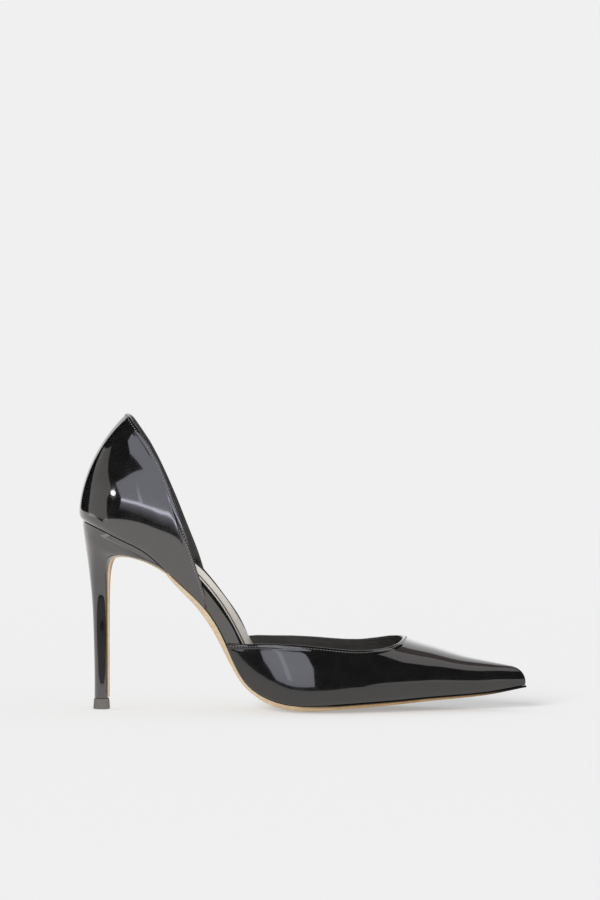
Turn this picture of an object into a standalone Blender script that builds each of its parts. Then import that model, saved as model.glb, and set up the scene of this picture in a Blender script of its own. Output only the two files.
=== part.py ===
"""A pointed two-part pump, open at both sides of the waist, on a wrapped stiletto heel.

Right shoe, standing empty. Tables and sizes are in millimetres; the objects are in metres, with the toe
to +X, the inner side of the foot to +Y and the floor at Z = 0.
"""

import math

import bmesh
import bpy
import numpy as np
from mathutils import Vector

MM = 0.001
MIDDLE = np.array([-0.1, -0.58, 0.0])
GAP = 0.3
WALL = 1.6
FOLD = 0.7
STRIP_WALL = 1.05
SOLE_EDGE_BEVEL = 0.6
SOLE_CROWN = 1.4
SOLE_TOE_X = 113.2
TIP_HEIGHT = 5.5

# The last, a row for each section from the back of the heel to the toe. The feather edge is at (x, z) in
# side view, lateral and medial from the middle. The section rises over it to the ridge. Round is the
# power of its curve, and bulge is how far the side swells.
LAST_COLUMNS = ("x", "z", "lateral", "medial", "ridge_x", "ridge_y", "ridge_z", "round", "bulge")
LAST = np.array(
    [
        (-114.9, 98.4, 0.0, 0.0, -64, 0, 167, 1.90, 1.6),
        (-113.2, 98.0, 8.8, 8.8, -63, 0, 166, 1.92, 1.6),
        (-109.0, 96.5, 15.2, 15.0, -62, 0, 165, 1.96, 1.5),
        (-102.5, 93.8, 20.6, 20.2, -60, 0, 162, 2.00, 1.4),
        (-93.0, 89.4, 24.2, 23.6, -57, 0, 157, 2.05, 1.2),
        (-82.0, 83.9, 25.0, 24.2, -53, 0, 150, 2.10, 0.9),
        (-72.0, 75.6, 24.0, 22.8, -48, 0, 143, 2.15, 0.6),
        (-62.0, 65.8, 22.0, 20.2, -42, 0, 135, 2.20, 0.4),
        (-52.0, 56.1, 20.6, 18.0, -36, 0, 126, 2.20, 0.3),
        (-43.0, 43.6, 20.6, 17.5, -30, 0, 117, 2.20, 0.3),
        (-35.0, 26.9, 22.6, 19.0, -23, 0, 108, 2.20, 0.4),
        (-27.0, 14.4, 26.0, 22.4, -16, 0, 100, 2.15, 0.7),
        (-17.0, 7.9, 30.4, 27.0, -7, 0, 90, 2.10, 1.1),
        (-6.0, 4.8, 34.4, 31.4, 3, 0, 79, 2.10, 1.5),
        (6.0, 4.0, 36.6, 34.4, 13, 0, 69, 2.10, 1.6),
        (20.0, 4.4, 36.0, 35.6, 25, 1, 58, 2.10, 1.5),
        (36.0, 5.2, 32.4, 33.6, 38, 1, 47.5, 2.10, 1.2),
        (52.0, 6.1, 26.6, 29.2, 52, 2, 38.2, 2.10, 0.9),
        (68.0, 7.3, 19.8, 23.6, 67.5, 3, 32.5, 2.10, 0.7),
        (84.0, 8.2, 12.6, 17.6, 82, 4, 28.4, 2.10, 0.5),
        (98.0, 9.3, 6.0, 12.0, 94, 4, 25.6, 2.15, 0.4),
        (109.0, 10.9, 0.2, 7.4, 101, 4, 24.0, 2.20, 0.3),
        (115.5, 12.2, -3.8, 3.8, 104, 4, 23.4, 2.20, 0.3),
    ]
)
VAMP_BACK_X = -38.3
QUARTER_FRONT_X = -49.4
STRIP_X = (-60.0, -27.0)

# Toplines in side view, cut through the last: x, then the height.
QUARTER_EDGE = np.array(
    [
        (-130.0, 154.6),
        (-91.5, 154.6),
        (-90.2, 154.0),
        (-85.0, 146.8),
        (-79.8, 138.9),
        (-75.0, 129.5),
        (-71.0, 120.0),
        (-67.0, 109.3),
        (-63.0, 99.0),
        (-59.0, 89.0),
        (-56.0, 81.6),
        (-52.7, 71.2),
        (-50.5, 63.0),
        (-48.6, 55.0),
    ]
)
VAMP_EDGE_COLUMNS = ("x", "lateral", "medial")
VAMP_EDGE = np.array(
    [
        (-45.0, 36.0, 36.6),
        (-35.0, 36.0, 36.6),
        (-26.0, 36.1, 36.9),
        (-17.0, 36.7, 37.2),
        (-8.0, 36.5, 37.0),
        (4.0, 36.0, 36.3),
        (12.0, 35.2, 35.6),
        (20.0, 34.3, 35.1),
        (28.0, 33.5, 35.2),
        (36.0, 33.5, 36.0),
        (44.0, 34.3, 37.0),
        (49.5, 35.6, 37.6),
        (51.5, 37.0, 38.0),
        (52.3, 38.3, 38.3),
        (52.6, 60.0, 60.0),
    ]
)
STRIP_TOP = np.array(
    [(-60, 77.5), (-52.1, 68.7), (-47.2, 62.9), (-39.2, 52.1), (-33.1, 42.1), (-30.3, 35.6), (-27, 27.6)]
)
INSOLE_TOP = np.array(
    [
        (-114.0, 103.2),
        (-105.0, 100.0),
        (-93.0, 95.2),
        (-82.0, 90.4),
        (-72.0, 84.6),
        (-62.0, 78.2),
        (-53.3, 71.6),
        (-47.9, 65.6),
        (-40.4, 56.0),
        (-33.4, 44.6),
        (-28.5, 35.4),
        (-22.0, 24.5),
        (-15.0, 15.5),
        (-6.0, 10.2),
        (6.0, 8.0),
        (20.0, 7.6),
        (36.0, 7.9),
        (52.0, 8.6),
        (68.0, 9.6),
        (84.0, 10.4),
        (98.0, 11.4),
        (115.0, 13.8),
    ]
)
# Thickness of the outsole square to its line, by x.
SOLE_THICK = np.array([(-75, 2.6), (-62, 3.2), (-45, 3.4), (-28, 3.0), (-15, 2.6), (30, 2.0), (116, 1.4)])

# The heel, a row for each ring from its foot to the seat: the back and the front of the ring in side view,
# its half width, how square its front is, how much it follows the seat's outline, and the half width and
# thickness of the outsole's flap on its front.
HEEL_COLUMNS = ("back_x", "back_z", "front_x", "front_z", "half", "square", "seat", "flap", "flap_thick")
HEEL = np.array(
    [
        (-108.2, TIP_HEIGHT + GAP, -100.6, TIP_HEIGHT + GAP, 4.1, 3.0, 0.0, 2.4, 0.9),
        (-108.2, 20.0, -100.6, 20.0, 4.1, 3.0, 0.0, 2.4, 1.0),
        (-108.6, 38.5, -100.6, 38.5, 4.3, 3.0, 0.0, 2.5, 1.0),
        (-109.2, 54.0, -100.6, 53.0, 4.9, 3.0, 0.0, 2.8, 1.1),
        (-110.3, 66.5, -100.6, 64.0, 6.5, 3.2, 0.0, 3.9, 1.2),
        (-111.4, 76.0, -100.4, 71.5, 9.4, 3.5, 0.05, 6.0, 1.2),
        (-112.5, 83.5, -99.5, 76.8, 13.4, 4.0, 0.15, 8.8, 1.2),
        (-113.3, 88.3, -97.8, 80.2, 17.0, 4.6, 0.3, 11.4, 1.2),
        (-113.9, 91.8, -95.0, 82.0, 20.0, 5.5, 0.5, 14.0, 1.25),
        (-114.3, 94.0, -91.0, 82.8, 22.0, 7.0, 0.7, 16.6, 1.4),
        (-114.6, 95.8, -86.0, 81.9, 23.4, 9.0, 0.85, 19.2, 1.7),
        (-114.8, 97.0, -80.5, 80.0, 24.2, 12.0, 0.95, 21.4, 2.1),
        (-114.9, 98.1, -74.2, 77.1, 24.8, 16.0, 1.0, 22.9, 2.5),
    ]
)


def smooth(at, steps, rows):
    """Smooth curve through the rows of a table."""
    steps = np.asarray(steps, float)
    rows = np.asarray(rows, float)
    slopes = np.gradient(rows, steps, axis=0)
    at = np.atleast_1d(np.asarray(at, float))
    low = np.clip(np.searchsorted(steps, at, side="right") - 1, 0, len(steps) - 2)
    span = (steps[low + 1] - steps[low]).reshape(-1, *[1] * (rows.ndim - 1))
    f = (at - steps[low]).reshape(span.shape) / span
    start = (1 + 2 * f) * (1 - f) ** 2 * rows[low] + f * (1 - f) ** 2 * span * slopes[low]
    end = f * f * (3 - 2 * f) * rows[low + 1] - f * f * (1 - f) * span * slopes[low + 1]
    return start + end


def height(table, x):
    return smooth(x, table[:, 0], table[:, 1])


# Lengths along the feather edge at each row, the same for both sides, with a row past each end.
LINE = np.column_stack([LAST[:, :2], LAST[:, 2:4].mean(axis=1)])
CHORDS = np.linalg.norm(np.diff(LINE, axis=0), axis=1)
STEPS = np.concatenate([[-CHORDS[0], 0], np.cumsum(CHORDS), [CHORDS.sum() + CHORDS[-1]]])
LENGTH = CHORDS.sum()


class Side:
    """One side of the last: a point for a place along the feather edge and a share of the way up to the ridge."""

    def __init__(self, sign, column):
        rows = LAST[:, [0, LAST_COLUMNS.index(column), 1, 4, 5, 6, 7, 8]].copy()
        rows[:, 1] *= sign
        other = "medial" if column == "lateral" else "lateral"
        ends = rows[[1, -2]].copy()
        ends[:, 1] = -sign * LAST[[1, -2], LAST_COLUMNS.index(other)]
        self.sign = sign
        self.rows = np.vstack([ends[:1], rows, ends[1:]])
        self.steps = STEPS
        self.fine = np.linspace(0, LENGTH, 1201)
        self.line = smooth(self.fine, self.steps, self.rows)[:, :3]
        self.by_x = np.maximum.accumulate(self.line[:, 0] + self.fine * 1e-9)

    def along(self, x):
        return np.interp(x, self.by_x, self.fine)

    def edge_y(self, x):
        return np.interp(x, self.by_x, self.line[:, 1])

    def outward(self, t):
        ahead = smooth(t + 0.05, self.steps, self.rows)[:, :2]
        behind = smooth(t - 0.05, self.steps, self.rows)[:, :2]
        turn = np.stack([ahead[:, 1] - behind[:, 1], behind[:, 0] - ahead[:, 0]], axis=1)
        turn /= np.linalg.norm(turn, axis=1, keepdims=True)
        return turn * -self.sign

    def point(self, t, v):
        """Points of the last's surface, for equal arrays t (mm along the edge) and v (0 edge, 1 ridge)."""
        row = smooth(t, self.steps, self.rows)
        edge, ridge = row[:, :3], row[:, 3:6]
        turn = np.clip(v, 0, 1) * math.pi / 2
        inward = 1 - np.cos(turn) ** (2 / row[:, 6])
        rise = np.sin(turn) ** (2 / row[:, 6])
        flat = edge[:, :2] + (ridge - edge)[:, :2] * inward[:, None]
        root = np.sqrt(np.clip(v, 0, 1))
        flat = flat + self.outward(t) * (row[:, 7] * 4 * root * (1 - root))[:, None]
        return np.column_stack([flat, edge[:, 2] + (ridge - edge)[:, 2] * rise])

    def top(self, t, table):
        """How far up each section the side-view topline in the table cuts it: 1 where it doesn't."""
        share = np.linspace(0, 1, 161)
        cuts = []
        for place in t:
            points = self.point(np.full(share.shape, place), share)
            over = points[:, 2] - np.interp(points[:, 0], table[:, 0], table[:, 1])
            over[points[:, 0] > table[-1, 0]] = -1
            above = np.flatnonzero(over > 0)
            if len(above) == 0 or above[0] == 0:
                cuts.append(1.0 if len(above) == 0 else share[1])
                continue
            k = above[0]
            cuts.append(share[k - 1] + (share[k] - share[k - 1]) * over[k - 1] / (over[k - 1] - over[k]))
        return np.array(cuts)

    def stations(self, start, end, table, count):
        """Places along the edge whose points on the edge and on the topline are evenly spread."""
        fine = np.linspace(start, end, 500)
        low = self.point(fine, np.zeros(fine.shape))
        high = self.point(fine, self.top(fine, table))
        steps = 0.5 * np.linalg.norm(np.diff(low, axis=0), axis=1) + np.linalg.norm(np.diff(high, axis=0), axis=1)
        spread = np.concatenate([[0], np.cumsum(steps)])
        return np.interp(np.linspace(0, spread[-1], count), spread, fine)


LATERAL = Side(-1, "lateral")
MEDIAL = Side(1, "medial")


def feather(x):
    """Height of the feather edge by x."""
    return np.interp(x, LATERAL.by_x, LATERAL.line[:, 2])


def material(name, colour, roughness, metallic=0.0):
    made = bpy.data.materials.new(name)
    made.use_nodes = True
    shader = made.node_tree.nodes["Principled BSDF"]
    shader.inputs["Base Color"].default_value = (*colour, 1)
    shader.inputs["Roughness"].default_value = roughness
    shader.inputs["Metallic"].default_value = metallic
    return made


def add(name, points, faces, surface, where):
    """A mesh object from points in millimetres, with doubled points welded and normals outwards."""
    mesh = bpy.data.meshes.new(name)
    mesh.from_pydata([tuple((np.asarray(p) - MIDDLE) * MM) for p in points], [], faces)
    work = bmesh.new()
    work.from_mesh(mesh)
    bmesh.ops.remove_doubles(work, verts=work.verts, dist=1e-5)
    bmesh.ops.dissolve_degenerate(work, edges=work.edges, dist=1e-7)
    bmesh.ops.recalc_face_normals(work, faces=work.faces)
    work.to_mesh(mesh)
    work.free()
    for face in mesh.polygons:
        face.use_smooth = True
    made = bpy.data.objects.new(name, mesh)
    mesh.materials.append(surface)
    where.objects.link(made)
    return made


def grid_faces(count, across, first=0, flip=False):
    faces = []
    for i in range(count - 1):
        for j in range(across - 1):
            a = first + i * across + j
            face = (a, a + across, a + across + 1, a + 1)
            faces.append(face[::-1] if flip else face)
    return faces


def shell(name, sheets, wall, surface, where):
    """A wall of even thickness from one or two grids of points on its outer face."""
    points = []
    faces = []
    for flip, grid in sheets:
        faces += grid_faces(grid.shape[0], grid.shape[1], len(points), flip)
        points += list(grid.reshape(-1, 3))
    made = add(name, points, faces, surface, where)
    inside = (np.mean(points, axis=0) * (1, 0, 1) - MIDDLE) * MM
    if sum(face.area * face.normal.dot(face.center - Vector(inside)) for face in made.data.polygons) < 0:
        made.data.flip_normals()
    thick = made.modifiers.new("wall", "SOLIDIFY")
    thick.thickness = wall * MM
    thick.offset = -1
    thick.use_even_offset = True
    thick.use_quality_normals = True
    return made


def vamp_sheets():
    """Both halves of the vamp, which meet on the ridge in front of the throat."""
    t = LATERAL.stations(LATERAL.along(VAMP_BACK_X), LENGTH, VAMP_EDGE[:, :2], 46)
    tops = [LATERAL.top(t, VAMP_EDGE[:, :2]), MEDIAL.top(t, VAMP_EDGE[:, [0, 2]])]
    met = (tops[0] > 0.97) | (tops[1] > 0.97)
    tops = [np.where(met, 1.0, top) for top in tops]
    return [(False, section_grid(LATERAL, t, tops[0], 11)), (True, section_grid(MEDIAL, t, tops[1], 11))]


def quarter_sheet(side):
    t = LATERAL.stations(0, LATERAL.along(QUARTER_FRONT_X), QUARTER_EDGE, 26)
    return section_grid(side, t, side.top(t, QUARTER_EDGE), 11)


def section_grid(side, t, top, rows):
    share = np.linspace(0, 1, rows)
    return np.stack([side.point(np.full(rows, place), share * high) for place, high in zip(t, top)])


def strip_sheet(side):
    x = np.linspace(*STRIP_X, 18)
    low = feather(x)
    high = height(STRIP_TOP, x)
    y = side.edge_y(x) - side.sign * FOLD
    columns = [np.column_stack([x, y, low + (high - low) * f]) for f in (0, 0.5, 1)]
    return np.stack(columns, axis=1)


def build_upper(surface, where, cutters):
    upper = shell("upper", vamp_sheets(), WALL, surface, where)
    joined = [
        shell("quarter", [(False, quarter_sheet(LATERAL)), (True, quarter_sheet(MEDIAL))], WALL, surface, cutters),
        shell("strip_lateral", [(False, strip_sheet(LATERAL))], STRIP_WALL, surface, cutters),
        shell("strip_medial", [(True, strip_sheet(MEDIAL))], STRIP_WALL, surface, cutters),
    ]
    for other in joined[1:] + joined[:1]:
        other.hide_render = True
        other.display_type = "WIRE"
        union = upper.modifiers.new(other.name, "BOOLEAN")
        union.operation = "UNION"
        union.solver = "EXACT"
        union.object = other


def slab(name, rings, surface, where):
    """A solid lofted through rings of equal length, with both ends closed."""
    points = [p for ring in rings for p in ring]
    count = len(rings[0])
    faces = [tuple(range(count))[::-1], tuple(range(len(points) - count, len(points)))]
    for i in range(len(rings) - 1):
        for j in range(count):
            a = i * count + j
            b = i * count + (j + 1) % count
            faces.append((a, b, b + count, a + count))
    return add(name, points, faces, surface, where)


def build_insole(surface, where):
    """The board with its shank and sock, a little domed, inside the wall of the upper."""
    inset = FOLD + STRIP_WALL + GAP
    share = np.linspace(0, 1, 9)
    rings = []
    for place in np.linspace(0, LENGTH, 58):
        here = np.array([place])
        pair = []
        for side in (LATERAL, MEDIAL):
            edge = side.point(here, np.zeros(1))[0, :2]
            tight = inset + 2.0 * np.clip((edge[0] - 98) / 14, 0, 1)
            pair.append(edge - side.outward(here)[0] * tight)
        flat = pair[0] + (pair[1] - pair[0]) * share[:, None]
        low = feather(flat[:, 0])
        dome = 0.9 * 4 * share * (1 - share) * (1 if 0 < place < LENGTH else 0)
        high = height(INSOLE_TOP, flat[:, 0]) + dome
        rings.append(np.vstack([np.column_stack([flat, high]), np.column_stack([flat, low])[::-1]]))
    return slab("insole", rings, surface, where)


def heel_ring(row, count=19):
    """Points round one ring of the heel, from the middle of its back round one side to its front and back."""
    back_x, back_z, front_x, front_z, half, square, seat = row[:7]
    f = 0.5 - 0.5 * np.cos(np.linspace(0, math.pi, count))
    x = back_x + (front_x - back_x) * f
    curve = feather(x)
    bow = curve - curve[0] - (curve[-1] - curve[0]) * f
    z = back_z + (front_z - back_z) * f + bow * seat
    wide = np.where(f < 0.5, np.sqrt(1 - (2 * f - 1) ** 2), (1 - np.abs(2 * f - 1) ** square) ** (1 / square))
    sides = []
    for side in (LATERAL, MEDIAL):
        outline = np.abs(side.edge_y(x)) * (1 - np.abs(np.clip(2 * f - 1, 0, 1)) ** 40)
        sides.append(side.sign * (wide * half * (1 - seat) + outline * half / 24.8 * seat))
    ring = [np.column_stack([x, sides[0], z]), np.column_stack([x, sides[1], z])[::-1][1:-1]]
    return np.vstack(ring)


def build_heel(surface, where):
    steps = np.arange(len(HEEL))
    rows = smooth(np.linspace(0, len(HEEL) - 1, 29), steps, HEEL)
    return slab("heel", [heel_ring(row) for row in rows], surface, where)


def normals_of(line):
    ahead = np.gradient(line, axis=0)
    turn = np.column_stack([-ahead[:, 1], ahead[:, 0]])
    return turn / np.linalg.norm(turn, axis=1, keepdims=True)


def build_outsole(surface, where):
    """One leather from the toe back under the waist, over the heel's lip and down its breast."""
    x = np.concatenate([np.linspace(SOLE_TOE_X, 20, 18), np.linspace(16, -72.5, 40)])
    under = np.column_stack([x, feather(x)])
    rows = smooth(np.linspace(len(HEEL) - 1.1, 0.05, 28), np.arange(len(HEEL)), HEEL)
    line = np.vstack([under, rows[:, 2:4]])
    down = normals_of(line)
    line = line + down * GAP
    share = np.linspace(-1, 1, 7)
    rings = []
    for k, (x, z) in enumerate(line):
        if k < len(under):
            thick = float(np.interp(x, SOLE_THICK[:, 0], SOLE_THICK[:, 1]))
            sides = [float(LATERAL.edge_y(under[k, 0])), float(MEDIAL.edge_y(under[k, 0]))]
            crown = SOLE_CROWN * math.exp(-(((x - 4) / 26) ** 2))
        else:
            flap, thick = rows[k - len(under), 7:9]
            sides = [-flap, flap]
            crown = 0.0
        middle = (sides[0] + sides[1]) / 2
        half = (sides[1] - sides[0]) / 2
        low_y = middle + share * max(half - SOLE_EDGE_BEVEL, half * 0.6)
        top = np.column_stack([np.full(7, x), middle + share * half, np.full(7, z)])
        depth = thick + crown * (1 - share**2) * 1.3
        low = np.column_stack([x + down[k, 0] * depth, low_y, np.maximum(z + down[k, 1] * depth, 0.0)])
        rings.append(np.vstack([top, low[::-1]]))
    return slab("outsole", rings, surface, where)


def build_top_piece(surface, where):
    rings = []
    for z, spread in ((0.0, 0.3), (0.5, 0.55), (TIP_HEIGHT - 0.4, 0.2), (TIP_HEIGHT, 0.0)):
        row = HEEL[0].copy()
        row[[0, 2, 4]] += (-spread, spread, spread)
        ring = heel_ring(row)
        ring[:, 2] = z
        rings.append(ring)
    return slab("top_piece", rings, surface, where)


for old in list(bpy.data.objects):
    bpy.data.objects.remove(old, do_unlink=True)
shoe = bpy.data.collections.new("pointed pump")
helpers = bpy.data.collections.new("cutters")
bpy.context.scene.collection.children.link(shoe)
bpy.context.scene.collection.children.link(helpers)

build_upper(material("black patent leather", (0.012, 0.012, 0.013), 0.12), shoe, helpers)
build_insole(material("champagne sock leather", (0.62, 0.57, 0.50), 0.45), shoe)
build_outsole(material("tan sole leather", (0.55, 0.36, 0.20), 0.55), shoe)
build_heel(material("black patent heel wrap", (0.013, 0.013, 0.014), 0.12), shoe)
build_top_piece(material("dark heel tip", (0.16, 0.15, 0.15), 0.6), shoe)
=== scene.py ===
"""The looks of a pointed two-part pump in black patent leather, on a wrapped stiletto heel.

Right shoe: toe to +X, outer side to -Y, floor at Z = 0. Tables are in millimetres, meshes in metres.
"""

import math

import bmesh
import bpy
import numpy as np
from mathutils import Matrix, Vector
from mathutils.bvhtree import BVHTree


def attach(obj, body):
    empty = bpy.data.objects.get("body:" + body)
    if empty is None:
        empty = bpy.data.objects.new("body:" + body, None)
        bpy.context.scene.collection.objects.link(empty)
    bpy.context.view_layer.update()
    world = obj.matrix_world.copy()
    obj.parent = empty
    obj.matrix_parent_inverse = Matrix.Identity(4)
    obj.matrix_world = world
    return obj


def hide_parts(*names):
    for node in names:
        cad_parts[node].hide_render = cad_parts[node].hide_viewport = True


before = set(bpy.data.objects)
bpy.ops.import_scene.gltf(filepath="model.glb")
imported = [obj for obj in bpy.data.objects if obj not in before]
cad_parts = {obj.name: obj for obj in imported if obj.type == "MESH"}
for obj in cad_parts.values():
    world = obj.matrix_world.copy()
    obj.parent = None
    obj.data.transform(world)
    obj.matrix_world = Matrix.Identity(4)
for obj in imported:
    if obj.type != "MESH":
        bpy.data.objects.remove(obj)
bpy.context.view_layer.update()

# Camera. The shoe is seen from its outer side, a little above the floor and a little towards the toe,
# through a long lens that keeps the heel upright.
VIEW_TURN = 4.0
VIEW_RISE = 3.0
VIEW_FAR = 6.0
VIEW_TALL = 0.468
VIEW_MIDDLE = Vector((-0.0015, 0.0006, 0.1354))
SENSOR_WIDE = 36.0


def facing(turn, rise):
    """The way to something seen at a turn from the front and a rise from the floor, in degrees."""
    turn, rise = math.radians(turn), math.radians(rise)
    return Vector((math.sin(turn) * math.cos(rise), -math.cos(turn) * math.cos(rise), math.sin(rise)))


lens = bpy.data.cameras.new("side view")
lens.sensor_width = SENSOR_WIDE
lens.lens = SENSOR_WIDE * VIEW_FAR / VIEW_TALL
lens.clip_end = 50.0
camera = bpy.data.objects.new("side view", lens)
bpy.context.scene.collection.objects.link(camera)
towards_camera = facing(VIEW_TURN, VIEW_RISE)
camera.location = VIEW_MIDDLE + towards_camera * VIEW_FAR
camera.rotation_euler = towards_camera.to_track_quat("Z", "Y").to_euler()
bpy.context.scene.camera = camera
bpy.context.scene.view_settings.view_transform = "Standard"

# Vamp. Patent leather over the toes and a dark lining, folded and stitched along the topline, drawn down
# over a pointed last and turned in under the sole.
MM = 0.001
# The spot in the tables that lies at the frame's origin.
MIDDLE = np.array([-0.1, -0.58, 0.0])
UPPER_WALL = 1.6
VAMP_BACK_X = -38.3
VAMP_SIDE_COLUMNS = 96
VAMP_TOE_COLUMNS = 38
VAMP_LEAN = 18.0
VAMP_ROWS = 30
VAMP_SOFT = 1.2
THROAT_FROM = 0.5
THROAT_EASE = (0.52, 0.68)
# Rows along a folded edge, by distance in from it, and how far the doubled leather stands out at each.
FOLD_ROWS = np.array([0.0, 0.45, 1.0, 1.6, 2.1, 2.45, 2.8, 3.2, 3.8, 4.8])
FOLD_STANDS = np.array([0.0, 0.04, 0.06, 0.06, 0.05, 0.01, -0.06, -0.04, 0.0, 0.0])
# The rows close up in a column shorter than this, and fade where a column ends about this far from the edge.
FOLD_SHORT = 7.0
FOLD_FADE = 8.0
# How a column leans as it rises, and how far its foot lifts and turns in under the sole.
LEAN_POWER = 2.5
FOOT_LIFT = 0.3
TURN_IN = np.array([[1.5], [0.25]])
# The last, a row for each section from the heel to the toe: the feather edge in side view (x, z) and to
# the outer and inner side, the top of the section (x, y, z), how square it is, how far its side swells and
# how high up it swells (less is lower).
LAST = np.array([
    (-114.9, 98.4, 0.0, 0.0, -64, 0, 167, 1.79, 2.6, 0.43),
    (-113.2, 98.0, 8.8, 8.8, -63, 0, 166, 1.82, 2.5, 0.43),
    (-109.0, 96.5, 15.1, 14.9, -62, 0, 165, 1.91, 2.4, 0.43),
    (-102.5, 93.8, 20.2, 19.8, -60, 0, 162, 2.00, 2.2, 0.43),
    (-93.0, 89.4, 23.6, 23.0, -57, 0, 157, 2.05, 2.2, 0.41),
    (-82.0, 83.9, 24.3, 23.5, -53, 0, 150, 2.10, 2.1, 0.39),
    (-72.0, 75.6, 23.4, 22.2, -48, 0, 143, 2.15, 1.8, 0.38),
    (-62.0, 65.8, 21.6, 19.8, -42, 0, 135, 2.20, 1.3, 0.38),
    (-52.0, 56.1, 20.4, 17.8, -36, 0, 126, 2.20, 0.8, 0.38),
    (-43.0, 43.6, 20.5, 17.4, -30, 0, 117, 2.20, 0.5, 0.38),
    (-35.0, 26.9, 22.7, 19.1, -23, 0, 108, 2.20, 0.5, 0.36),
    (-27.0, 14.4, 26.2, 22.6, -16, 0, 100, 2.20, 0.6, 0.32),
    (-17.0, 8.0, 30.7, 27.3, -7, 0, 90, 2.25, 0.9, 0.28),
    (-6.0, 4.9, 34.6, 31.6, 3, 0, 79, 2.32, 1.2, 0.25),
    (6.0, 4.2, 36.4, 34.2, 13, 0, 69, 2.40, 1.6, 0.26),
    (20.0, 4.9, 35.4, 35.0, 25, 1, 58, 2.52, 2.0, 0.29),
    (36.0, 5.9, 31.4, 32.6, 38, 1, 47.6, 2.68, 2.3, 0.34),
    (52.0, 6.9, 25.3, 27.9, 52, 2, 38.4, 2.80, 2.5, 0.41),
    (68.0, 8.1, 18.4, 22.2, 67.5, 3, 33.3, 2.85, 2.4, 0.47),
    (84.0, 9.0, 11.4, 16.4, 82, 4, 28.7, 2.80, 2.1, 0.52),
    (98.0, 10.2, 5.1, 11.1, 94.5, 4, 25.9, 2.65, 1.5, 0.56),
    (109.0, 12.0, -0.2, 7.0, 102, 4, 24.2, 2.45, 0.9, 0.58),
    (115.6, 13.2, -3.8, 3.8, 105, 4, 23.5, 2.30, 0.5, 0.58),
])
# The topline in side view: x, its height on the outer side, its height on the inner side.
VAMP_TOPLINE = np.array([
    (-45.0, 36.0, 37.0), (-35.0, 36.0, 37.0), (-26.0, 36.1, 37.6), (-17.0, 36.7, 37.2),
    (-8.0, 36.5, 37.0), (4.0, 36.0, 36.3), (12.0, 35.2, 35.6), (20.0, 34.3, 35.1), (28.0, 33.5, 35.2),
    (36.0, 33.5, 36.3), (44.0, 34.3, 37.8), (49.5, 35.7, 38.2), (51.5, 37.2, 38.3), (52.3, 38.4, 38.4),
])


def spline(at, steps, rows):
    """A curve through the rows whose bend never breaks, as a draughtsman's spline gives."""
    steps = np.asarray(steps, float)
    rows = np.asarray(rows, float).reshape(len(steps), -1)
    gaps = np.diff(steps)
    lean = np.eye(len(steps))
    pull = np.zeros(rows.shape)
    for i in range(1, len(steps) - 1):
        lean[i, i - 1 : i + 2] = gaps[i - 1], 2 * (gaps[i - 1] + gaps[i]), gaps[i]
        pull[i] = 6 * ((rows[i + 1] - rows[i]) / gaps[i] - (rows[i] - rows[i - 1]) / gaps[i - 1])
    bend = np.linalg.solve(lean, pull)
    at = np.atleast_1d(np.asarray(at, float))
    k = np.clip(np.searchsorted(steps, at, side="right") - 1, 0, len(steps) - 2)
    gap = gaps[k][:, None]
    left = (steps[k + 1] - at)[:, None]
    right = (at - steps[k])[:, None]
    bent = (bend[k] * left**3 + bend[k + 1] * right**3) / (6 * gap)
    from_left = (rows[k] / gap - bend[k] * gap / 6) * left
    from_right = (rows[k + 1] / gap - bend[k + 1] * gap / 6) * right
    return bent + from_left + from_right


LAST_EDGE = np.column_stack([LAST[:, :2], LAST[:, 2:4].mean(axis=1)])
LAST_CHORDS = np.linalg.norm(np.diff(LAST_EDGE, axis=0), axis=1)
LAST_LENGTH = LAST_CHORDS.sum()


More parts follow.
